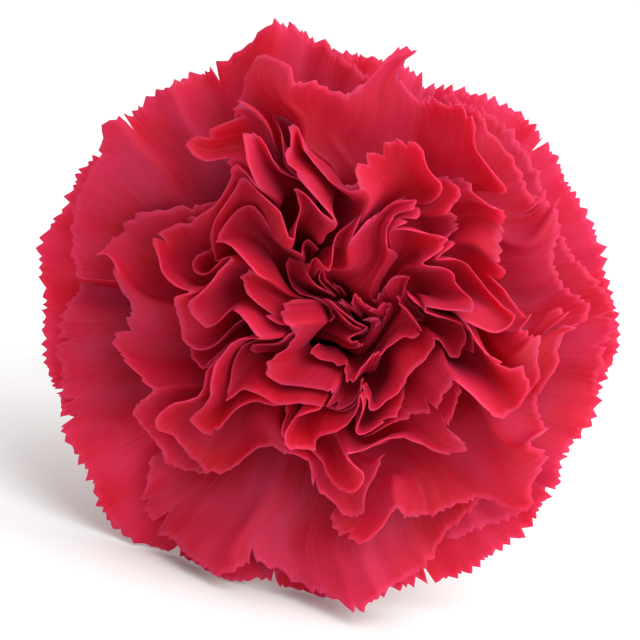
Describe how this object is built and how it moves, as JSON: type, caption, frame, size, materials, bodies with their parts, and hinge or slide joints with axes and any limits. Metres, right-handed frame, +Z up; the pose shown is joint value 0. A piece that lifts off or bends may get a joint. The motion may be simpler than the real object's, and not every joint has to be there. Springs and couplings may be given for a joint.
{
  "type": "cut carnation",
  "caption": "Cut carnation lying on its side: a full double flower head of ruffled crimson petals in a green calyx, on a short leafy length of stem.",
  "frame": {"origin": "bottom centre of the bounding box, on the surface the flower lies on", "axes": "+Z up; the stem runs towards +Y and the face of the flower looks towards -Y and a little up"},
  "size_m": [0.078, 0.114, 0.0739],
  "materials": {
    "petal": "soft matte petal with a faint satin sheen",
    "calyx": "matte grey-green, waxy",
    "bract": "matte grey-green, waxy",
    "receptacle": "matte pale green",
    "ovary": "smooth pale green",
    "style": "matte white",
    "stem": "smooth green with a grey waxy bloom",
    "leaf": "matte blue-green with a grey waxy bloom"
  },
  "bodies": {
    "root": {"petal_01": "petal", "petal_02": "petal", "petal_03": "petal", "petal_04": "petal", "petal_05": "petal", "petal_06": "petal", "petal_07": "petal", "petal_08": "petal", "petal_09": "petal", "petal_10": "petal", "petal_11": "petal", "petal_12": "petal", "petal_13": "petal", "petal_14": "petal", "petal_15": "petal", "petal_16": "petal", "petal_17": "petal", "petal_18": "petal", "petal_19": "petal", "petal_20": "petal", "petal_21": "petal", "petal_22": "petal", "petal_23": "petal", "petal_24": "petal", "petal_25": "petal", "petal_26": "petal", "petal_27": "petal", "petal_28": "petal", "petal_29": "petal", "petal_30": "petal", "petal_31": "petal", "petal_32": "petal", "petal_33": "petal", "calyx": "calyx", "bract_1": "bract", "bract_2": "bract", "bract_3": "bract", "bract_4": "bract", "receptacle": "receptacle", "ovary": "ovary", "style_1": "style", "style_2": "style", "stem": "stem", "leaf_1": "leaf", "leaf_2": "leaf"}
  },
  "joints": []
}
